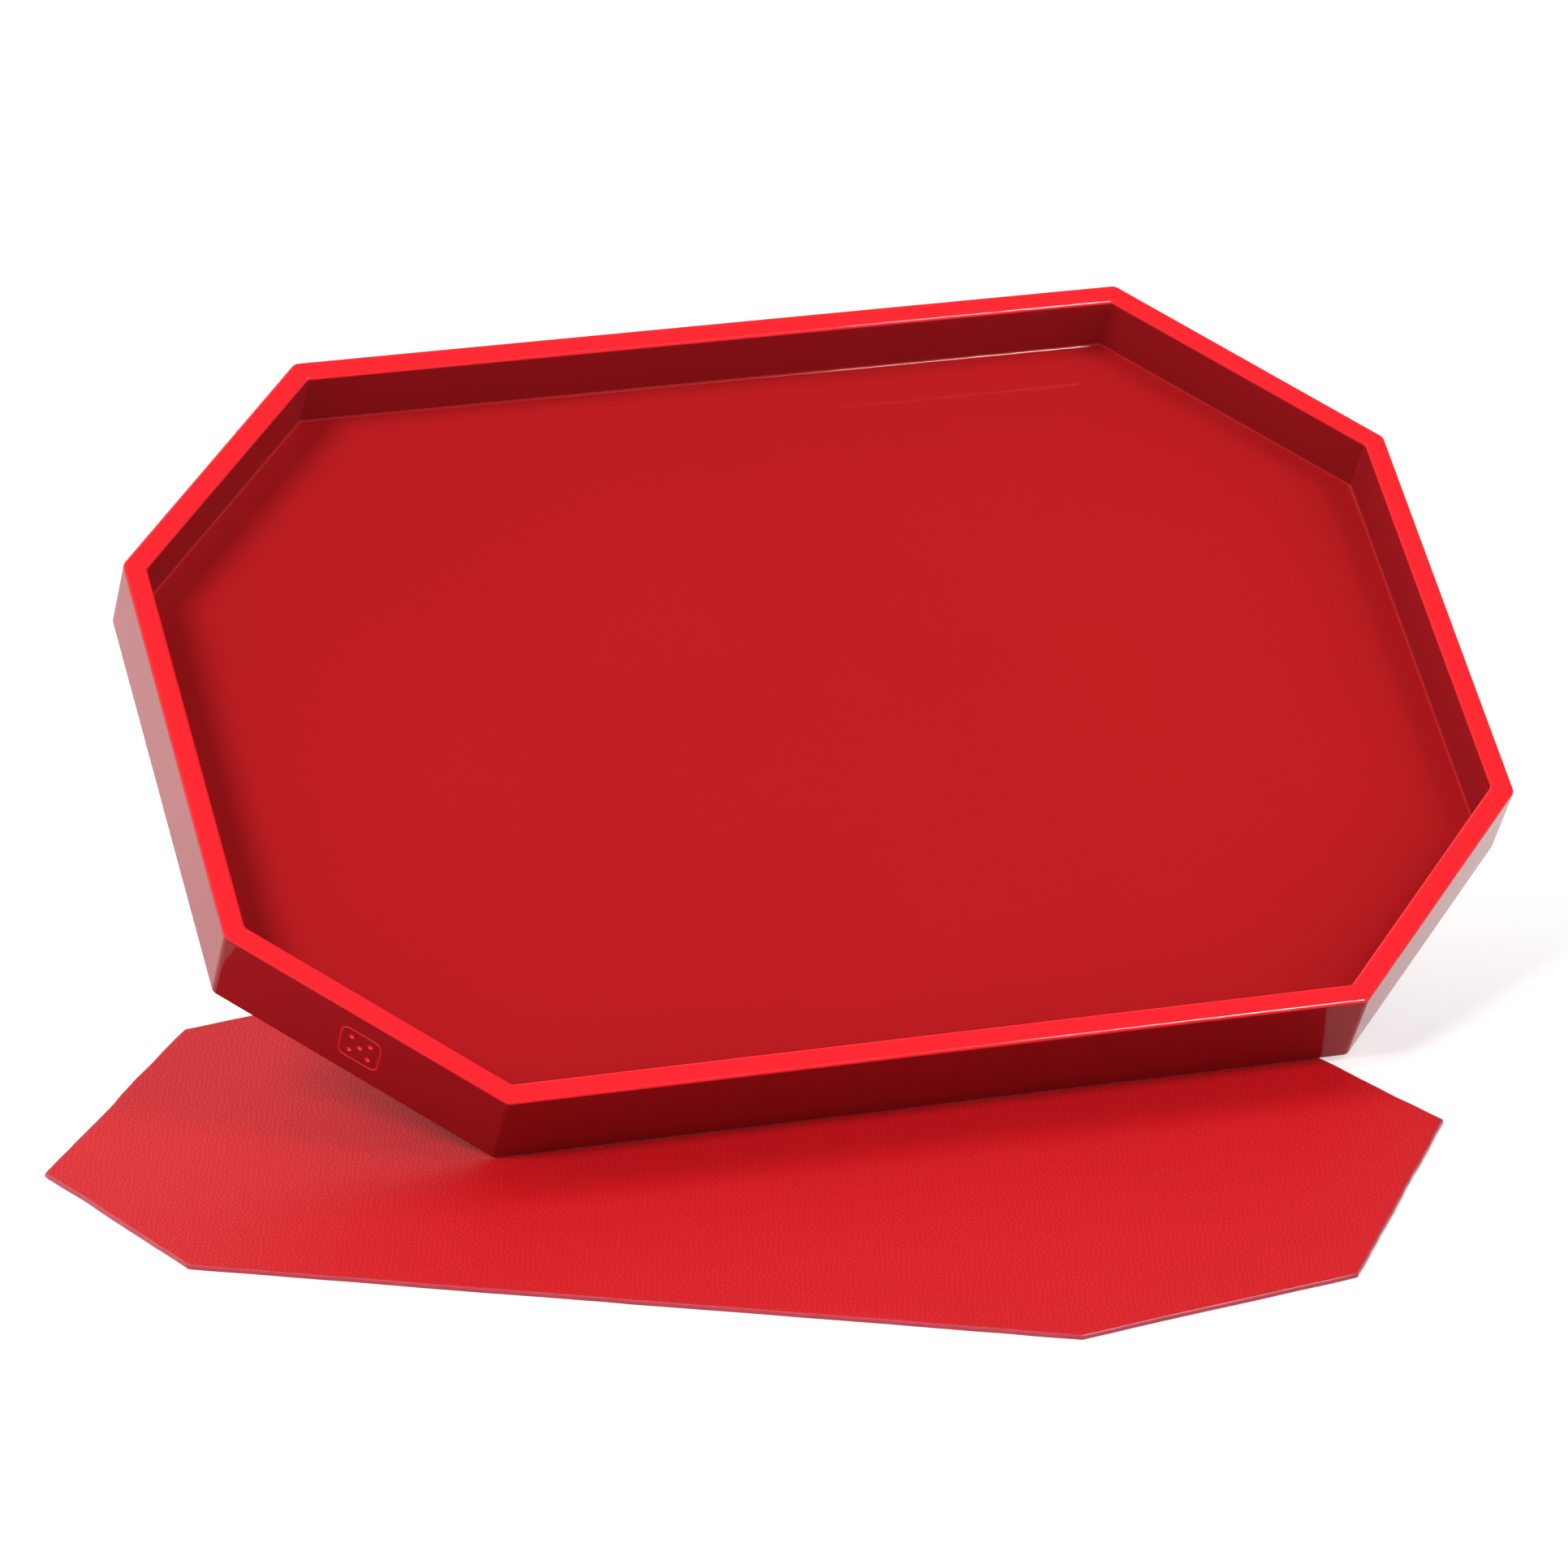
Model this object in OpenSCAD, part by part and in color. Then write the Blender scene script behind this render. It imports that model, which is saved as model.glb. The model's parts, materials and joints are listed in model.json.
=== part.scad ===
// Lacquered dice tray with a loose leather mat.
// A shallow tray in the shape of a long octagon: eight mitred walls around a
// floor panel. It leans back on the rounded lower edge of its front wall, which
// stands on the leather mat. The mat is cut to lie inside the tray.
// Frame: origin at the middle of the mat's underside, +X along the tray's long
// sides, +Y towards the raised rear wall, +Z up. Millimetres and degrees.

/* [Tray] */
// Overall length of the tray
tray_l = 410; // [380:5:460]
// Overall width of the tray
tray_w = 280; // [265:5:310]
// Length that each cut corner takes off both neighbouring sides
corner_cut = 70; // [60:1:80]
// Overall height of the tray
tray_h = 29; // [27:0.5:36]
// Thickness of the eight walls
wall_t = 7; // [6.5:0.25:9]
// Height of the tray's inside floor above its underside
floor_z = 8; // [7.5:0.25:9]
// Radius of the long rounded edges of the walls
edge_r = 1; // [0.5:0.25:1.5]
// Radius of the upright outside corners
corner_r = 3; // [1:0.5:4]

/* [Joinery] */
// How far the floor panel sits up inside the walls, to make room for the liner
panel_lift = 1; // [0.75:0.05:1.5]
// Width of the floor panel's tongue, let into the walls
tongue_w = 3; // [2:0.25:3.5]
// Thickness of that tongue
tongue_t = 3; // [2:0.25:3]
// Thickness of the loose splines across the mitres
spline_t = 2; // [1.5:0.1:2.2]
// Length of a spline across its mitre
spline_l = 8; // [6:0.5:9]
// Lower end of the splines above the tray's underside
spline_z0 = 9; // [9:0.5:12]
// Upper end of the splines above the tray's underside
spline_z1 = 24; // [18:0.5:25]

/* [Underside liner] */
// Thickness of the suede liner under the floor panel
liner_t = 0.9; // [0.5:0.05:0.9]
// Gap between the liner and the walls around it
liner_gap = 0.5; // [0.3:0.1:2]

/* [Leather mat] */
// Gap between the mat and the tray's inside walls when it lies in the tray
mat_gap = 1; // [0.5:0.25:2]
// Thickness of the grained leather face
leather_t = 0.8; // [0.7:0.05:1.4]
// Thickness of the stiffening board inside the mat
core_t = 0.4; // [0.3:0.05:0.8]
// Width of the mat's edge, where leather and backing meet around the board
core_inset = 4; // [2:0.5:8]
// Thickness of the suede backing
backing_t = 0.4; // [0.3:0.05:0.6]

/* [Engraved mark] */
// Width of the engraved mark on the front left wall
mark_w = 14; // [8:0.5:16]
// Depth of the engraving
mark_depth = 0.4; // [0.2:0.05:0.6]
// Width of the engraved lines
mark_line = 0.8; // [0.5:0.05:1]
// Radius of the five round dimples
mark_dot_r = 1.1; // [0.7:0.05:1.2]

/* [Arrangement] */
// Running gap between the tray's lower edge and the mat
edge_gap = 0.05; // [0.02:0.01:0.1]
// Lean of the tray, from lying flat
lean = 37.2; // [30:0.1:45]
// Turn of the mat on the table, from the tray's long sides
mat_turn = 32.3; // [20:0.1:40]
// Middle of the tray's lower front edge, along X from the mat's middle
edge_x = 61; // [50:0.5:70]
// Middle of the tray's lower front edge, along Y from the mat's middle
edge_y = 14.5; // [5:0.5:25]

/* [Hidden] */
$fn = 48;
eps = 0.01;
mat_t = leather_t + core_t + backing_t;

// Long octagon, counter-clockwise from the right end of the front side, with
// every side moved inwards by d. The corners are cut at 45 degrees.
function octagon(l, w, c, d = 0) =
    let (a = l / 2 - d, b = w / 2 - d, k = c - d * (2 - sqrt(2)))
    [[a - k, -b], [a, -(b - k)], [a, b - k], [a - k, b],
     [-(a - k), b], [-a, b - k], [-a, -(b - k)], [-(a - k), -b]];

function tray_outline(d = 0) = octagon(tray_l, tray_w, corner_cut, d);
function unit(v) = v / norm(v);

// Octagon with its corners rounded to radius r, made of straight sides and arcs.
module round_octagon(p, r) {
    n = len(p);
    centres = [for (i = [0 : n - 1])
        let (u = unit(p[(i + n - 1) % n] - p[i]), v = unit(p[(i + 1) % n] - p[i]),
             m = unit(u + v), s = sqrt((1 - u * v) / 2))
        p[i] + m * r / s];
    tangents = [for (i = [0 : n - 1])
        let (u = unit(p[(i + n - 1) % n] - p[i]), v = unit(p[(i + 1) % n] - p[i]))
        each [p[i] + u * (u * (centres[i] - p[i])), p[i] + v * (v * (centres[i] - p[i]))]];
    polygon(tangents);
    for (c = centres) translate(c) circle(r);
}

// Section across a wall: x runs inwards from the outside face, y up. The two
// top edges and the outside lower edge are rounded. The groove on the inside
// takes the floor panel's tongue.
module wall_section() {
    difference() {
        union() {
            translate([edge_r, edge_r]) square([wall_t - 2 * edge_r, tray_h - 2 * edge_r]);
            translate([edge_r, 0]) square([wall_t - edge_r, edge_r]);
            translate([wall_t - edge_r - eps, 0]) square([edge_r + eps, tray_h - edge_r]);
            translate([0, edge_r]) square([edge_r + eps, tray_h - 2 * edge_r]);
            translate([edge_r, tray_h - edge_r - eps]) square([wall_t - 2 * edge_r, edge_r + eps]);
            for (q = [[edge_r, edge_r], [edge_r, tray_h - edge_r], [wall_t - edge_r, tray_h - edge_r]])
                translate(q) circle(edge_r);
        }
        translate([wall_t - tongue_w, tongue_z()]) square([tongue_w + 1, tongue_t]);
    }
}

function tongue_z() = (panel_lift + floor_z - tongue_t) / 2;

// Wall number i of the octagon: the section runs along the side from mitre to
// mitre, and the splines' slots are cut into both ends.
module wall(i, mark = false) {
    o = tray_outline();
    q = tray_outline(wall_t);
    n = len(o);
    a = o[i]; b = o[(i + 1) % n];
    ai = q[i]; bi = q[(i + 1) % n];
    u = unit(b - a);
    difference() {
        intersection() {
            // section, laid along the side
            translate([a[0], a[1], 0])
                multmatrix([[-u[1], 0, u[0], -60 * u[0]],
                            [u[0], 0, u[1], -60 * u[1]],
                            [0, 1, 0, 0],
                            [0, 0, 0, 1]])
                    linear_extrude(height = norm(b - a) + 120) wall_section();
            // mitre cuts
            translate([0, 0, -1]) linear_extrude(height = tray_h + 2)
                polygon([a + (a - ai), b + (b - bi), bi + (bi - b), ai + (ai - a)]);
            // rounded upright corners
            translate([0, 0, -1]) linear_extrude(height = tray_h + 2)
                round_octagon(o, corner_r);
        }
        for (k = [i, (i + 1) % n]) spline(k);
        if (mark)
            translate([(a[0] + b[0]) / 2, (a[1] + b[1]) / 2, tray_h / 2])
                multmatrix([[u[0], 0, -u[1], 0],
                            [u[1], 0, u[0], 0],
                            [0, 1, 0, 0],
                            [0, 0, 0, 1]])
                    engraving();
    }
}

// Square with rounded corners, centred.
module round_square(w, r) {
    square([w, w - 2 * r], center = true);
    square([w - 2 * r, w], center = true);
    for (x = [-1, 1], y = [-1, 1]) translate([x, y] * (w / 2 - r)) circle(r);
}

// Mark shaped like the face of a die: a square line and five dimples.
module engraving() {
    translate([0, 0, -1]) linear_extrude(height = 1 + mark_depth) {
        difference() {
            round_square(mark_w, mark_w / 5);
            round_square(mark_w - 2 * mark_line, mark_w / 5 - mark_line);
        }
        circle(mark_dot_r);
        for (x = [-1, 1], y = [-1, 1]) translate([x, y] * mark_w * 0.23) circle(mark_dot_r);
    }
}

// Spline number k, across the mitre at corner k.
module spline(k) {
    o = tray_outline()[k];
    q = tray_outline(wall_t)[k];
    m = (o + q) / 2;
    r = atan2(o[1] - q[1], o[0] - q[0]);
    translate([m[0], m[1], spline_z0]) rotate([0, 0, r])
        translate([-spline_t / 2, -spline_l / 2, 0])
            cube([spline_t, spline_l, spline_z1 - spline_z0]);
}

// Puts a piece of the tray in its place: leaning back on the rounded lower
// edge of the front wall, which stands on the mat.
module leaning() {
    translate([edge_x, edge_y + edge_r, mat_t + edge_gap + edge_r]) rotate([lean, 0, 0])
        translate([0, tray_w / 2 - edge_r, -edge_r]) children();
}

// Puts a piece of the mat in its place, turned on the table.
module lying() {
    rotate([0, 0, -mat_turn]) children();
}

module wall_front() { color("firebrick") leaning() wall(7); }
module wall_front_right() { color("firebrick") leaning() wall(0); }
module wall_right() { color("firebrick") leaning() wall(1); }
module wall_rear_right() { color("firebrick") leaning() wall(2); }
module wall_rear() { color("firebrick") leaning() wall(3); }
module wall_rear_left() { color("firebrick") leaning() wall(4); }
module wall_left() { color("firebrick") leaning() wall(5); }
module wall_front_left() { color("firebrick") leaning() wall(6, true); }

// Floor of the tray, with a tongue all round.
module floor_panel() {
    color("firebrick") leaning() {
        translate([0, 0, panel_lift]) linear_extrude(height = floor_z - panel_lift)
            polygon(tray_outline(wall_t));
        translate([0, 0, tongue_z()]) linear_extrude(height = tongue_t)
            polygon(tray_outline(wall_t - tongue_w));
    }
}

// Eight loose splines that lock the mitres.
module mitre_splines() {
    color("tan") leaning() for (k = [0 : 7]) spline(k);
}

// Suede sheet that covers the floor panel's underside.
module underside_liner() {
    color("darkred") leaning()
        translate([0, 0, panel_lift - liner_t]) linear_extrude(height = liner_t)
            polygon(tray_outline(wall_t + liner_gap));
}

// Grained leather face of the mat. Its edge reaches down round the board.
module mat_leather() {
    color("crimson") lying() difference() {
        translate([0, 0, backing_t]) linear_extrude(height = leather_t + core_t)
            polygon(tray_outline(wall_t + mat_gap));
        translate([0, 0, backing_t - 1]) linear_extrude(height = core_t + 1)
            polygon(tray_outline(wall_t + mat_gap + core_inset));
    }
}

// Thin board that keeps the mat flat.
module mat_stiffener() {
    color("peru") lying()
        translate([0, 0, backing_t]) linear_extrude(height = core_t)
            polygon(tray_outline(wall_t + mat_gap + core_inset));
}

// Suede under the mat.
module mat_backing() {
    color("darkred") lying()
        linear_extrude(height = backing_t) polygon(tray_outline(wall_t + mat_gap));
}

wall_front();
wall_front_right();
wall_right();
wall_rear_right();
wall_rear();
wall_rear_left();
wall_left();
wall_front_left();
floor_panel();
mitre_splines();
underside_liner();
mat_leather();
mat_stiffener();
mat_backing();
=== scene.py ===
import json
import math

import bmesh
import bpy
from mathutils import Matrix, Vector, noise


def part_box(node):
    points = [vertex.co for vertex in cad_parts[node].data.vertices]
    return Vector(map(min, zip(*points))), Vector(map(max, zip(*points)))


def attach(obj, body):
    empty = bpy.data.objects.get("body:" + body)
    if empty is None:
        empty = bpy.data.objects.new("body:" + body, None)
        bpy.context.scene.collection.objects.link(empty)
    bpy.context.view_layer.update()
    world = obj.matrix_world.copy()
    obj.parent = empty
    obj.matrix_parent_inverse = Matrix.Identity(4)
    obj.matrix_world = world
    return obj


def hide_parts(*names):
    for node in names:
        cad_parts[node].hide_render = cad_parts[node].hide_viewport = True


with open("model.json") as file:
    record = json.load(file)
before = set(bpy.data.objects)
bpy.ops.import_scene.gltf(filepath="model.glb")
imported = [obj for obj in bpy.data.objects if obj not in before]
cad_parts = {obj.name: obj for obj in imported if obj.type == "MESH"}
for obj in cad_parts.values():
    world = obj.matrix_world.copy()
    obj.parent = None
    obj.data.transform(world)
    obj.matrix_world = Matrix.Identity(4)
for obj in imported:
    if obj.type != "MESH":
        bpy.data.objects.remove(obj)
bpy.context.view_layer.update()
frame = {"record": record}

MM = 0.001
scene = bpy.context.scene

# ---------------------------------------------------------------- placement
# The tray and the mat are drawn flat, in millimetres, and then put where the
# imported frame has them: the tray leans about the hinge, the mat lies turned.
record = frame["record"]
hinge = record["behaviour"]["joints"][0]
LEAN = -hinge["range_deg"][0]
HX, HY, HZ = hinge["pos_m"]
TRAY_L, TRAY_W, CUT, TRAY_H = 410.0, 280.0, 70.0, 29.0
WALL, FLOOR_Z, PANEL_Z, EDGE_R = 7.0, 8.0, 1.0, 1.0
MAT_TURN, MAT_GAP = 32.3, 1.0
MAT_TOP = (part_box("mat_leather")[1][2]) / MM
BACK_T = (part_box("mat_backing")[1][2]) / MM

TRAY = (
    Matrix.Translation((HX, HY, HZ))
    @ Matrix.Rotation(math.radians(LEAN), 4, "X")
    @ Matrix.Translation((0, (TRAY_W / 2 - EDGE_R) * MM, -EDGE_R * MM))
    @ Matrix.Scale(MM, 4)
)
MAT = Matrix.Rotation(math.radians(-MAT_TURN), 4, "Z") @ Matrix.Scale(MM, 4)
N_TRAY = (TRAY.to_3x3() @ Vector((0, 0, 1))).normalized()
P_TRAY = TRAY @ Vector((0, 0, 0))


def octagon(d=0.0, l=TRAY_L, w=TRAY_W, c=CUT):
    """Counter-clockwise from the right end of the front side, as in the CAD."""
    a, b, k = l / 2 - d, w / 2 - d, c - d * (2 - math.sqrt(2))
    return [Vector(p) for p in (
        (a - k, -b), (a, -(b - k)), (a, b - k), (a - k, b),
        (-(a - k), b), (-a, b - k), (-a, -(b - k)), (-(a - k), -b))]


def ring(d, radius, arcs):
    """Octagon inset by d whose corners are rounded, arcs steps to a corner."""
    p = octagon(d)
    out = []
    for i in range(8):
        u = (p[i - 1] - p[i]).normalized()
        v = (p[(i + 1) % 8] - p[i]).normalized()
        s = math.sqrt((1 - u.dot(v)) / 2)
        c = p[i] + (u + v).normalized() * (radius / s)
        t0 = p[i] + u * u.dot(c - p[i]) - c
        turn = math.pi / 4
        for j in range(arcs + 1):
            a = turn * j / arcs
            out.append(Vector((t0.x * math.cos(a) - t0.y * math.sin(a),
                               t0.x * math.sin(a) + t0.y * math.cos(a))) + c)
    return out


def arc(cx, cz, r, a0, a1, n):
    """Points of an arc in the section, both ends included."""
    return [(cx + r * math.cos(math.radians(a0 + (a1 - a0) * i / n)),
             cz + r * math.sin(math.radians(a0 + (a1 - a0) * i / n)))
            for i in range(n + 1)]


def new_object(name, bm, mats, body):
    me = bpy.data.meshes.new(name)
    bm.normal_update()
    bm.to_mesh(me)
    bm.free()
    o = bpy.data.objects.new(name, me)
    scene.collection.objects.link(o)
    for m in mats:
        me.materials.append(m)
    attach(o, body)
    return o


def smooth(o, angle=40.0, weighted=True):
    for p in o.data.polygons:
        p.use_smooth = True
    o.data.set_sharp_from_angle(angle=math.radians(angle))
    if weighted:
        w = o.modifiers.new("weighted", "WEIGHTED_NORMAL")
        w.mode = "FACE_AREA_WITH_ANGLE"
        w.weight = 60
        w.keep_sharp = True


# ---------------------------------------------------------------- materials
def material(name):
    m = bpy.data.materials.new(name)
    m.use_nodes = True
    nt = m.node_tree
    nt.nodes.clear()
    out = nt.nodes.new("ShaderNodeOutputMaterial")
    b = nt.nodes.new("ShaderNodeBsdfPrincipled")
    nt.links.new(b.outputs["BSDF"], out.inputs["Surface"])
    return m, nt, b


class Net:
    """Small helper that strings shader nodes together."""

    def __init__(self, nt):
        self.nt = nt
        place = nt.nodes.new("ShaderNodeTexCoord")
        self.obj, self.own_normal = place.outputs["Object"], place.outputs["Normal"]

    def node(self, kind, props=(), **inputs):
        n = self.nt.nodes.new(kind)
        for k, v in dict(props).items():
            setattr(n, k, v)
        for k, v in inputs.items():
            key = k.replace("_", " ")
            if key not in n.inputs:
                key = int(k[1:])
            if hasattr(v, "is_output"):
                self.nt.links.new(v, n.inputs[key])
            else:
                n.inputs[key].default_value = v
        return n

    def link(self, a, b):
        self.nt.links.new(a, b)

    def scaled(self, v, s):
        return self.node("ShaderNodeVectorMath", {"operation": "MULTIPLY"},
                         i0=v, i1=s).outputs[0]

    def math(self, op, a, b=0.0, clamp=False):
        return self.node("ShaderNodeMath", {"operation": op, "use_clamp": clamp},
                         i0=a, i1=b).outputs[0]

    def noise(self, scale, detail=2.0, rough=0.5, vec=None, dist=0.0):
        n = self.node("ShaderNodeTexNoise", {}, Vector=vec or self.obj, Scale=scale,
                      Detail=detail, Roughness=rough, Distortion=dist)
        return n.outputs[0]

    def remap(self, v, a, b, c, d, smooth=False):
        n = self.node("ShaderNodeMapRange",
                      {"interpolation_type": "SMOOTHSTEP" if smooth else "LINEAR"},
                      Value=v)
        for k, x in zip(("From Min", "From Max", "To Min", "To Max"), (a, b, c, d)):
            n.inputs[k].default_value = x
        return n.outputs[0]

    def mix(self, f, a, b):
        n = self.nt.nodes.new("ShaderNodeMix")
        n.data_type = "RGBA"
        for sock, v in ((n.inputs["Factor"], f), (n.inputs[6], a), (n.inputs[7], b)):
            if hasattr(v, "is_output"):
                self.nt.links.new(v, sock)
            else:
                sock.default_value = v
        return n.outputs[2]

    def bump(self, height, strength, distance, normal=None):
        n = self.node("ShaderNodeBump", {}, Height=height, Strength=strength,
                      Distance=distance)
        if normal is not None:
            self.nt.links.new(normal, n.inputs["Normal"])
        return n.outputs[0]


def rgb(r, g, b):
    return (r, g, b, 1.0)


def tray_height(net):
    """Height above the tray's underside, in millimetres, from the object's own place."""
    d = net.node("ShaderNodeVectorMath", {"operation": "SUBTRACT"},
                 i0=net.obj, i1=tuple(P_TRAY)).outputs[0]
    v = net.node("ShaderNodeVectorMath", {"operation": "DOT_PRODUCT"},
                 i0=d, i1=tuple(N_TRAY)).outputs["Value"]
    return net.math("MULTIPLY", v, 1000.0)


DEEP = rgb(0.376, 0.0098, 0.0120)
DEEP2 = rgb(0.366, 0.0094, 0.0115)
# painted shade: the darker reds given to the upright faces of the tray
SHADED_WALLS = rgb(0.250, 0.0088, 0.0118)
SHADED_WALLS2 = rgb(0.242, 0.0085, 0.0114)
BRIGHT = rgb(0.715, 0.0168, 0.0238)
BRIGHT2 = rgb(0.700, 0.0162, 0.0230)


def lacquer():
    m, nt, b = material("red_lacquer")
    n = Net(nt)
    cloud = n.noise(9.0, 3.0, 0.55)
    fade = n.remap(cloud, 0.35, 0.65, 0, 1)
    deep = n.mix(fade, DEEP, DEEP2)
    bright = n.mix(fade, BRIGHT, BRIGHT2)
    # painted shade: faces that turn away from the tray's upright, the walls, are given a darker red
    # than the floor
    tilt = n.node("ShaderNodeVectorMath", {"operation": "DOT_PRODUCT"},
                  i0=n.own_normal, i1=tuple(N_TRAY)).outputs["Value"]
    upright_shade = n.remap(n.math("ABSOLUTE", tilt), 0.25, 0.7, 1.0, 0.0, True)
    deep = n.mix(upright_shade, deep, n.mix(fade, SHADED_WALLS, SHADED_WALLS2))
    rim = n.remap(tray_height(n), 28.15, 28.6, 0.0, 1.0, True)
    col = n.mix(rim, deep, bright)
    # sparse dust specks on the gloss
    v = n.node("ShaderNodeTexVoronoi", {"feature": "F1"}, Vector=n.obj, Scale=42.0,
               Randomness=1.0)
    dot = n.remap(v.outputs["Distance"], 0.0065, 0.011, 1.0, 0.0, True)
    rare = n.math("GREATER_THAN", n.node("ShaderNodeSeparateColor", {},
                  Color=v.outputs["Color"]).outputs[0], 0.62)
    speck = n.math("MULTIPLY", dot, rare)
    col = n.mix(n.math("MULTIPLY", speck, 0.35), col, rgb(0.75, 0.28, 0.27))
    n.link(col, b.inputs["Base Color"])
    rough = n.remap(n.noise(26.0, 4.0, 0.6), 0.3, 0.7, 0.045, 0.075)
    rough = n.math("ADD", rough, n.math("MULTIPLY", speck, 0.3))
    n.link(rough, b.inputs["Roughness"])
    b.inputs["IOR"].default_value = 1.20
    # the slight orange peel and pull of a sprayed coat
    peel = n.noise(330.0, 2.0, 0.5)
    wave = n.noise(14.0, 1.0, 0.4)
    nb = n.bump(wave, 0.05, 0.0006)
    nb = n.bump(peel, 0.045, 0.00006, nb)
    nb = n.bump(speck, 0.25, 0.00004, nb)
    n.link(nb, b.inputs["Normal"])
    return m


def mark_paint():
    m, nt, b = material("engraved_line")
    n = Net(nt)
    g = n.noise(900.0, 3.0, 0.6)
    n.link(n.mix(n.remap(g, 0.3, 0.7, 0, 1), rgb(0.88, 0.045, 0.060),
                 rgb(0.78, 0.034, 0.046)), b.inputs["Base Color"])
    n.link(n.remap(g, 0.3, 0.7, 0.5, 0.65), b.inputs["Roughness"])
    n.link(n.bump(g, 0.3, 0.00005), b.inputs["Normal"])
    return m


def pebbles(n):
    """Height of a pebbled grain, 1 on the pebbles and 0 in the creases."""
    # the pebbles are longer along one line of the hide
    along, across = (
        n.node("ShaderNodeVectorMath", {"operation": "DOT_PRODUCT"}, i0=n.obj,
               i1=d).outputs["Value"]
        for d in ((0.953, -0.303, 0.0), (0.167, 0.524, 0.0)))
    vec = n.node("ShaderNodeCombineXYZ", {}, X=along, Y=across).outputs[0]
    wob = n.node("ShaderNodeTexNoise", {}, Vector=vec, Scale=330.0, Detail=2.0,
                 Roughness=0.55)
    wv = n.node("ShaderNodeVectorMath", {"operation": "SUBTRACT"},
                i0=wob.outputs["Color"], i1=(0.5, 0.5, 0.5)).outputs[0]
    wv = n.scaled(wv, (0.0006, 0.0006, 0.0))
    vec = n.node("ShaderNodeVectorMath", {"operation": "ADD"}, i0=vec, i1=wv).outputs[0]
    e = n.node("ShaderNodeTexVoronoi",
               {"feature": "DISTANCE_TO_EDGE", "voronoi_dimensions": "2D"},
               Vector=vec, Scale=660.0, Randomness=0.85).outputs["Distance"]
    big = n.remap(e, 0.0, 0.3, 0.0, 1.0, True)
    e2 = n.node("ShaderNodeTexVoronoi",
                {"feature": "DISTANCE_TO_EDGE", "voronoi_dimensions": "2D"},
                Vector=vec, Scale=1500.0, Randomness=1.0).outputs["Distance"]
    small = n.remap(e2, 0.0, 0.16, 0.0, 1.0, True)
    fine = n.noise(2600.0, 2.0, 0.5)
    h = n.math("ADD", n.math("MULTIPLY", big, 0.72),
               n.math("ADD", n.math("MULTIPLY", small, 0.2),
                      n.math("MULTIPLY", fine, 0.08)))
    return h, big


def leather():
    m, nt, b = material("grained_red_leather")
    n = Net(nt)
    h, big = pebbles(n)
    cloud = n.noise(13.0, 3.0, 0.6)
    col = n.mix(n.remap(cloud, 0.35, 0.65, 0, 1), rgb(0.510, 0.0072, 0.0113),
                rgb(0.490, 0.0068, 0.0107))
    # painted shade: the creases between the pebbles of the grain are given a darker red
    crease_shade = n.mix(n.remap(big, 0.0, 0.55, 1.0, 0.0), col, rgb(0.43, 0.0058, 0.0090))
    n.link(crease_shade, b.inputs["Base Color"])
    n.link(n.remap(h, 0.0, 1.0, 0.52, 0.40), b.inputs["Roughness"])
    b.inputs["Specular IOR Level"].default_value = 0.03
    b.inputs["Specular Tint"].default_value = rgb(1.0, 0.8, 1.0)
    soft = n.noise(22.0, 2.0, 0.5)
    nb = n.bump(soft, 0.06, 0.002)
    nb = n.bump(h, 0.6, 0.00014, nb)
    n.link(nb, b.inputs["Normal"])
    return m


def edge_paint():
    m, nt, b = material("painted_leather_edge")
    n = Net(nt)
    g = n.noise(260.0, 3.0, 0.6)
    n.link(n.mix(n.remap(g, 0.3, 0.7, 0, 1), rgb(0.36, 0.024, 0.042),
                 rgb(0.31, 0.018, 0.034)), b.inputs["Base Color"])
    n.link(n.remap(g, 0.3, 0.7, 0.38, 0.5), b.inputs["Roughness"])
    b.inputs["Specular IOR Level"].default_value = 0.3
    n.link(n.bump(g, 0.3, 0.0002), b.inputs["Normal"])
    return m


def suede(name, a, c):
    m, nt, b = material(name)
    n = Net(nt)
    nap = n.noise(1900.0, 4.0, 0.65)
    brushed = n.noise(34.0, 3.0, 0.6, dist=1.5)
    mixf = n.math("ADD", n.math("MULTIPLY", n.remap(nap, 0.3, 0.7, 0, 1), 0.45),
                  n.math("MULTIPLY", n.remap(brushed, 0.35, 0.65, 0, 1), 0.55))
    n.link(n.mix(mixf, a, c), b.inputs["Base Color"])
    n.link(n.remap(nap, 0.3, 0.7, 0.85, 0.97), b.inputs["Roughness"])
    b.inputs["Sheen Weight"].default_value = 0.35
    b.inputs["Sheen Roughness"].default_value = 0.5
    b.inputs["Sheen Tint"].default_value = rgb(0.9, 0.45, 0.45)
    n.link(n.bump(nap, 0.5, 0.00025), b.inputs["Normal"])
    return m


def fibreboard():
    m, nt, b = material("fibreboard")
    n = Net(nt)
    fib = n.noise(700.0, 5.0, 0.7, vec=n.scaled(n.obj, (1.0, 0.35, 1.0)))
    n.link(n.mix(n.remap(fib, 0.3, 0.7, 0, 1), rgb(0.42, 0.30, 0.19),
                 rgb(0.30, 0.20, 0.12)), b.inputs["Base Color"])
    n.link(n.remap(fib, 0.3, 0.7, 0.75, 0.9), b.inputs["Roughness"])
    n.link(n.bump(fib, 0.3, 0.0002), b.inputs["Normal"])
    return m


LACQUER = lacquer()
MARK = mark_paint()
LEATHER = leather()
EDGE = edge_paint()
SUEDE = suede("dark_red_suede", rgb(0.20, 0.012, 0.018), rgb(0.12, 0.007, 0.011))
BOARD = fibreboard()


# ---------------------------------------------------------------- lacquered shell
def corner_radius(d):
    """Outside corners are rounded to 3 mm; inside ones are tighter."""
    return max(3.0 - d, 0.8) if d <= 1.0001 else max(8.5 - d, 0.3)


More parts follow.
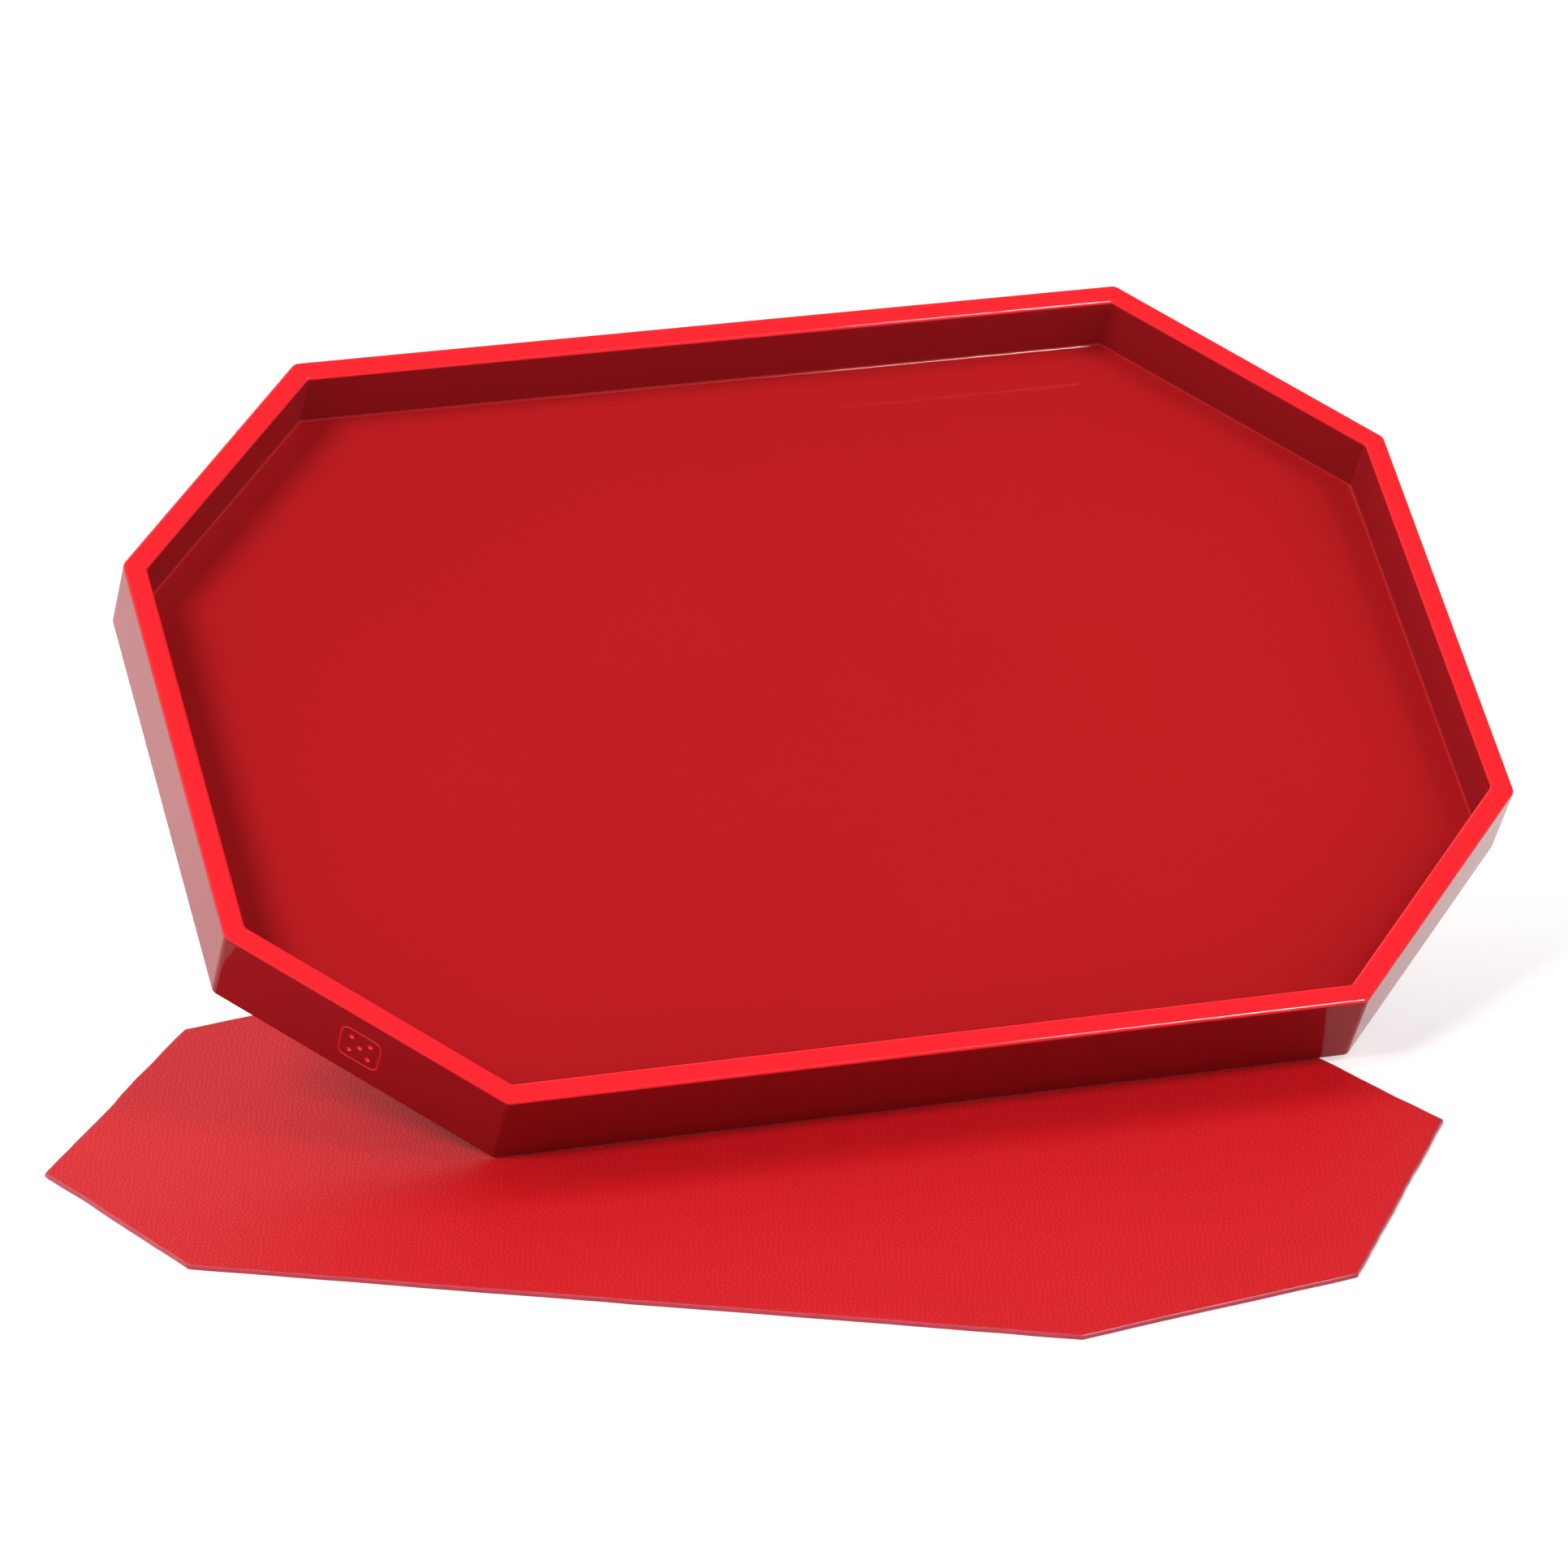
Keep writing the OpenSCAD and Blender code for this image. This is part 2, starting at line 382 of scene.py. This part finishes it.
def build_shell():
    A = 10
    sec = [(WALL, PANEL_Z), (WALL, 0.3)]
    sec += arc(WALL - 0.3, 0.3, 0.3, 0, -90, 3)[1:]
    sec += [(3.5, 0.0)]
    sec += arc(EDGE_R, EDGE_R, EDGE_R, 270, 180, 8)
    sec += [(0.0, 14.5)]
    sec += arc(EDGE_R, TRAY_H - EDGE_R, EDGE_R, 180, 90, 8)
    sec += [(3.5, TRAY_H)]
    sec += arc(WALL - EDGE_R, TRAY_H - EDGE_R, EDGE_R, 90, 0, 8)
    sec += [(WALL, 18.0)]
    r = 0.8
    sec += [(WALL + r - r * math.cos(math.radians(a)), FLOOR_Z + r - r * math.sin(math.radians(a)))
            for a in (0, 15, 30, 45, 60, 75, 90)]
    sec += [(9.0, FLOOR_Z), (12.0, FLOOR_Z), (24.0, FLOOR_Z)]
    bm = bmesh.new()
    rows = []
    for d, z in sec:
        rows.append([bm.verts.new((p.x, p.y, z)) for p in ring(d, corner_radius(d), A)])
    for r0, r1 in zip(rows, rows[1:]):
        k = len(r0)
        for j in range(k):
            bm.faces.new((r0[j], r0[(j + 1) % k], r1[(j + 1) % k], r1[j]))
    bm.faces.new(list(reversed(rows[0])))
    bm.faces.new(rows[-1])
    bmesh.ops.recalc_face_normals(bm, faces=bm.faces)
    bm.transform(TRAY)
    return new_object("lacquered_tray", bm, [LACQUER], "tray")


def round_square(w, r, n=6):
    out = []
    for cx, cy, a0 in ((1, 1, 0), (-1, 1, 90), (-1, -1, 180), (1, -1, 270)):
        for i in range(n + 1):
            a = math.radians(a0 + 90 * i / n)
            out.append((cx * (w / 2 - r) + r * math.cos(a),
                        cy * (w / 2 - r) + r * math.sin(a)))
    return out


def mark_cutter():
    """A die's face, to be cut into the front left wall: a square line and five dimples."""
    w, line, dot, depth = 14.0, 0.5, 0.9, 0.35
    o = octagon()
    a, b = o[6], o[7]
    u = (b - a).normalized()
    mid = (a + b) / 2
    face = Matrix(((u.x, 0, -u.y, mid.x), (u.y, 0, u.x, mid.y), (0, 1, 0, TRAY_H / 2),
                   (0, 0, 0, 1)))
    bm = bmesh.new()

    def prism(loop, hole=None):
        lo, hi = -1.0, depth
        v0 = [bm.verts.new((x, y, lo)) for x, y in loop]
        v1 = [bm.verts.new((x, y, hi)) for x, y in loop]
        k = len(loop)
        for i in range(k):
            bm.faces.new((v0[i], v0[(i + 1) % k], v1[(i + 1) % k], v1[i]))
        if hole is None:
            bm.faces.new(list(reversed(v0)))
            bm.faces.new(v1)
            return
        h0 = [bm.verts.new((x, y, lo)) for x, y in hole]
        h1 = [bm.verts.new((x, y, hi)) for x, y in hole]
        for i in range(k):
            j = (i + 1) % k
            bm.faces.new((h0[j], h0[i], h1[i], h1[j]))
            bm.faces.new((v0[j], v0[i], h0[i], h0[j]))
            bm.faces.new((v1[i], v1[j], h1[j], h1[i]))

    prism(round_square(w, w / 5), round_square(w - 2 * line, w / 5 - line))
    for x, y in ((0, 0), (-1, -1), (1, -1), (-1, 1), (1, 1)):
        prism([(x * w * 0.23 + dot * math.cos(t * math.tau / 20),
                y * w * 0.23 + dot * math.sin(t * math.tau / 20)) for t in range(20)])
    bm.transform(TRAY @ face)
    bmesh.ops.recalc_face_normals(bm, faces=bm.faces)
    me = bpy.data.meshes.new("cutter")
    bm.to_mesh(me)
    bm.free()
    me.materials.append(MARK)
    c = bpy.data.objects.new("cutter", me)
    scene.collection.objects.link(c)
    return c


shell = build_shell()
cutter = mark_cutter()
shell.data.materials.append(MARK)
mod = shell.modifiers.new("mark", "BOOLEAN")
mod.operation = "DIFFERENCE"
mod.solver = "EXACT"
mod.object = cutter
mod.material_mode = "TRANSFER"
bpy.context.view_layer.update()
done = bpy.data.meshes.new_from_object(
    shell.evaluated_get(bpy.context.evaluated_depsgraph_get()))
shell.modifiers.clear()
shell.data = done
bpy.data.objects.remove(cutter)
smooth(shell)
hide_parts("wall_front", "wall_front_right", "wall_right", "wall_rear_right",
            "wall_rear", "wall_rear_left", "wall_left", "wall_front_left", "floor_panel",
            "mitre_splines")


# ---------------------------------------------------------------- flat soft sheets
def warp(p, amp, size, seed):
    """A small smooth shift in the plane, so that a cut edge isn't ruled."""
    q = Vector((p.x / size + seed, p.y / size - seed, seed * 0.37))
    v = noise.noise_vector(q)
    return Vector((p.x + amp * v.x, p.y + amp * v.y))


def sheet_mesh(inset, step, rim, z_of, under_z, centre=None):
    """Closed thin sheet with the octagon's outline. rim lists (inset, z) down the edge."""
    p = octagon(inset + rim[0][0])
    a, b = p[1].x, -p[0].y
    k = a - p[0].x
    bk = b - k
    ys = []
    m = max(2, round(k / step))
    ys += [-b + k * i / m for i in range(m)]
    m2 = max(2, round(2 * bk / step))
    ys += [-bk + 2 * bk * i / m2 for i in range(m2)]
    ys += [bk + k * i / m for i in range(m + 1)]
    nx = round(2 * a / step)
    bm = bmesh.new()
    grid = []
    for y in ys:
        half = a - max(0.0, abs(y) - bk)
        grid.append([bm.verts.new((half * (2 * i / nx - 1), y, 0)) for i in range(nx + 1)])
    for r0, r1 in zip(grid, grid[1:]):
        for i in range(nx):
            bm.faces.new((r0[i], r0[i + 1], r1[i + 1], r1[i]))
    # boundary loop, counter-clockwise, with each vertex's outward direction
    loop = [(v, None) for v in grid[0]]
    loop += [(row[-1], None) for row in grid[1:-1]]
    loop += [(v, None) for v in reversed(grid[-1])]
    loop += [(row[0], None) for row in reversed(grid[1:-1])]
    loop = [v for v, _ in loop]
    n = len(loop)
    outs = []
    for i in range(n):
        e0 = (loop[i].co - loop[i - 1].co).xy.normalized()
        e1 = (loop[(i + 1) % n].co - loop[i].co).xy.normalized()
        n0, n1 = Vector((e0.y, -e0.x)), Vector((e1.y, -e1.x))
        outs.append((n0 + n1) / (1 + n0.dot(n1)))
    prev = loop
    base = rim[0][0]
    for d, z in rim[1:]:
        row = [bm.verts.new((v.co.x + o.x * (base - d), v.co.y + o.y * (base - d), z))
               for v, o in zip(loop, outs)]
        for i in range(n):
            j = (i + 1) % n
            bm.faces.new((prev[j], prev[i], row[i], row[j]))
        prev = row
    row = [bm.verts.new((v.co.x - o.x * 2.0, v.co.y - o.y * 2.0, under_z))
           for v, o in zip(prev, outs)]
    for i in range(n):
        j = (i + 1) % n
        bm.faces.new((prev[j], prev[i], row[i], row[j]))
    bm.faces.new(list(reversed(row)))
    for r in grid:
        for v in r:
            v.co.z = z_of(v.co)
    bmesh.ops.recalc_face_normals(bm, faces=bm.faces)
    return bm


def mat_warp(bm):
    for v in bm.verts:
        q = warp(v.co.xy, 0.55, 34.0, 3.1)
        q = warp(q, 0.25, 12.0, 7.7)
        v.co.x, v.co.y = q.x * 0.9985, q.y * 0.998


def mat_top(p):
    """The leather lies flat, with shallow soft swells no higher than its thickness."""
    s = noise.noise(Vector((p.x / 70.0, p.y / 70.0, 1.7)))
    t = noise.noise(Vector((p.x / 24.0, p.y / 24.0, 5.2)))
    return MAT_TOP - 0.07 - 0.05 * s - 0.02 * t


INSET = WALL + MAT_GAP
bm = sheet_mesh(INSET, 2.0,
                [(1.0, 0), (0.55, MAT_TOP - 0.09), (0.22, MAT_TOP - 0.2), (0.04, MAT_TOP - 0.4),
                 (0.0, MAT_TOP - 0.6), (0.0, BACK_T + 0.02)], mat_top, BACK_T + 0.02)
mat_warp(bm)
bm.transform(MAT)
face = new_object("mat_leather_face", bm, [LEATHER], "mat")
smooth(face, 50, False)
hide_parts("mat_leather", "mat_stiffener")

bm = sheet_mesh(INSET, 4.0,
                [(0.6, 0), (0.3, BACK_T - 0.02), (0.15, BACK_T - 0.1), (0.1, 0.2), (0.2, 0.03),
                 (0.4, 0.0)], lambda p: BACK_T - 0.01, 0.0)
mat_warp(bm)
bm.transform(MAT)
back = new_object("mat_suede_back", bm, [SUEDE], "mat")
smooth(back, 50, False)
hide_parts("mat_backing")


def edge_bead():
    """The coat of edge paint round the mat, a thin bulging strip."""
    ring0 = octagon(INSET)
    pts = []
    for i in range(8):
        a, b = ring0[i], ring0[(i + 1) % 8]
        m = round((b - a).length / 2.0)
        pts += [a + (b - a) * (j / m) for j in range(m)]
    n = len(pts)
    outs = []
    for i in range(n):
        e0 = (pts[i] - pts[i - 1]).normalized()
        e1 = (pts[(i + 1) % n] - pts[i]).normalized()
        n0, n1 = Vector((e0.y, -e0.x)), Vector((e1.y, -e1.x))
        outs.append((n0 + n1) / (1 + n0.dot(n1)))
    top = MAT_TOP
    sec = [(-0.30, top - 0.16), (-0.05, top - 0.20), (0.07, top - 0.36), (0.12, top - 0.6),
           (0.13, top * 0.45), (0.10, 0.28), (0.02, 0.09), (-0.15, 0.02), (-0.45, 0.0),
           (-0.5, 0.3), (-0.5, top - 0.4)]
    bm = bmesh.new()
    rows = []
    for d, z in sec:
        rows.append([])
        for i, (p, o) in enumerate(zip(pts, outs)):
            s = noise.noise(Vector((p.x / 7.0, p.y / 7.0, 2.2 + z)))
            bulge = 0.05 * s if d > 0 else 0.0
            rows[-1].append(bm.verts.new((p.x + o.x * (d + bulge), p.y + o.y * (d + bulge), z)))
    rows.append(rows[0])
    for r0, r1 in zip(rows, rows[1:]):
        for i in range(n):
            j = (i + 1) % n
            bm.faces.new((r0[i], r0[j], r1[j], r1[i]))
    bmesh.ops.recalc_face_normals(bm, faces=bm.faces)
    mat_warp(bm)
    bm.transform(MAT)
    return new_object("mat_edge_paint", bm, [EDGE], "mat")


bead = edge_bead()
smooth(bead, 60, False)

LIN = WALL + 0.5
LZ0, LZ1 = 0.1, PANEL_Z
bm = sheet_mesh(LIN, 4.0,
                [(0.7, 0), (0.3, LZ1 - 0.04), (0.1, LZ1 - 0.2), (0.05, 0.5), (0.15, LZ0 + 0.1),
                 (0.5, LZ0 + 0.02)], lambda p: LZ1 - 0.01, LZ0)
bm.transform(TRAY)
liner = new_object("suede_liner", bm, [SUEDE], "tray")
smooth(liner, 50, False)
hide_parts("underside_liner")

# ---------------------------------------------------------------- floor, world, lights
bpy.ops.mesh.primitive_grid_add(x_subdivisions=8, y_subdivisions=8, size=40.0,
                                location=(0, 0, -0.00002))
floor = bpy.context.object
floor.name = "table_top"
m, nt, b = material("white_table")
b.inputs["Base Color"].default_value = rgb(0.6, 0.6, 0.6)
b.inputs["Roughness"].default_value = 0.65
b.inputs["Specular IOR Level"].default_value = 0.0
b.inputs["Emission Color"].default_value = rgb(1.0, 1.0, 1.0)
b.inputs["Emission Strength"].default_value = 0.47
floor.data.materials.append(m)

world = bpy.data.worlds.new("studio")
scene.world = world
world.use_nodes = True
wn = world.node_tree
wn.nodes.clear()


def wmath(op, a, b=0.0):
    n = wn.nodes.new("ShaderNodeMath")
    n.operation = op
    for sock, v in zip(n.inputs, (a, b)):
        if hasattr(v, "is_output"):
            wn.links.new(v, sock)
        else:
            sock.default_value = v
    return n.outputs[0]


def bearing(az, el):
    """Unit vector: az 0 is behind the object (+Y), 90 is to its right (+X)."""
    az, el = math.radians(az), math.radians(el)
    return (math.sin(az) * math.cos(el), math.cos(az) * math.cos(el), math.sin(el))


# soft boxes without edges: each is (azimuth, elevation, sharpness, brightness)
SOFT = [
    (270, 12, 14, 2.1),
    (225, 12, 14, 0.54),
    (135, 12, 14, 4.2),
    (135, 38, 14, 0.44),
    (315, 38, 14, 4.3),
    (0, 38, 14, 5.1),
]
AMBIENT, HORIZON = 0.0, 0.9
wo = wn.nodes.new("ShaderNodeOutputWorld")
bg = wn.nodes.new("ShaderNodeBackground")
tc = wn.nodes.new("ShaderNodeTexCoord")
sep = wn.nodes.new("ShaderNodeSeparateXYZ")
wn.links.new(tc.outputs["Generated"], sep.inputs[0])
band = wn.nodes.new("ShaderNodeMapRange")
band.interpolation_type = "SMOOTHSTEP"
wn.links.new(sep.outputs["Z"], band.inputs["Value"])
for key, v in (("From Min", 0.06), ("From Max", 0.12), ("To Min", HORIZON), ("To Max", 0.0)):
    band.inputs[key].default_value = v
total = wmath("ADD", band.outputs[0], AMBIENT)
for a_, e_, sharp, amount in SOFT:
    dot = wn.nodes.new("ShaderNodeVectorMath")
    dot.operation = "DOT_PRODUCT"
    wn.links.new(tc.outputs["Generated"], dot.inputs[0])
    dot.inputs[1].default_value = bearing(a_, e_)
    lobe = wmath("EXPONENT", wmath("MULTIPLY", wmath("SUBTRACT", dot.outputs["Value"], 1.0), sharp))
    total = wmath("ADD", total, wmath("MULTIPLY", lobe, amount))
wn.links.new(total, bg.inputs["Strength"])
wn.links.new(bg.outputs[0], wo.inputs[0])


def sun(name, direction, strength, angle, colour=(1, 1, 1)):
    d = bpy.data.lights.new(name, "SUN")
    d.energy, d.angle, d.color = strength, math.radians(angle), colour
    o = bpy.data.objects.new(name, d)
    o.rotation_mode = "QUATERNION"
    o.rotation_quaternion = (-Vector(direction)).to_track_quat("-Z", "Y")
    scene.collection.objects.link(o)
    return o


def over_tray(x, y):
    """Direction whose slopes from the tray's own upright are x to the right and y to the rear."""
    return (N_TRAY + Vector((1, 0, 0)) * x
            + N_TRAY.cross(Vector((1, 0, 0))).normalized() * y).normalized()


sun("key_left", over_tray(-0.76, 0.09), 2.5, 22)
sun("fill_right", over_tray(0.43, 0.0), 0.64, 16)


def strip(name, x, y, height, wide, deep, watts):
    """A strip light over the tray that only shows as a thin line on its polished edges."""
    side = Vector((1, 0, 0))
    away = N_TRAY.cross(side).normalized()
    d = bpy.data.lights.new(name, "AREA")
    d.shape, d.size, d.size_y, d.energy = "RECTANGLE", wide, deep, watts
    o = bpy.data.objects.new(name, d)
    p = P_TRAY + side * x + away * y + N_TRAY * height
    o.matrix_world = Matrix(((side.x, away.x, N_TRAY.x, p.x), (side.y, away.y, N_TRAY.y, p.y),
                             (side.z, away.z, N_TRAY.z, p.z), (0, 0, 0, 1)))
    o.visible_diffuse = False
    scene.collection.objects.link(o)
    return o


strip("glint_wide", 0.60, 0.05, 1.4, 0.24, 0.45, 26)
strip("glint_core", 0.64, 0.05, 1.4, 0.14, 0.3, 60)

# ---------------------------------------------------------------- camera
cd = bpy.data.cameras.new("camera")
cam = bpy.data.objects.new("camera", cd)
scene.collection.objects.link(cam)
scene.camera = cam
cd.sensor_fit = "HORIZONTAL"
cd.sensor_width = 36.0
cd.lens = 213.2
cd.clip_start, cd.clip_end = 0.05, 100.0
az, el, roll, dist = math.radians(-17.651), math.radians(17.500), math.radians(-0.820), 2.84963
target = Vector((HX - 0.011673, 0.1145, 0.074696))
back_v = Vector((math.sin(az) * math.cos(el), -math.cos(az) * math.cos(el), math.sin(el)))
right = (-back_v).cross(Vector((0, 0, 1))).normalized()
up = right.cross(-back_v)
r2 = right * math.cos(roll) + up * math.sin(roll)
u2 = -right * math.sin(roll) + up * math.cos(roll)
pos = target + back_v * dist
cam.matrix_world = Matrix(((r2.x, u2.x, back_v.x, pos.x), (r2.y, u2.y, back_v.y, pos.y),
                           (r2.z, u2.z, back_v.z, pos.z), (0, 0, 0, 1)))
cd.dof.use_dof = False

scene.view_settings.view_transform = "Standard"
scene.view_settings.look = "None"

bpy.context.view_layer.update()
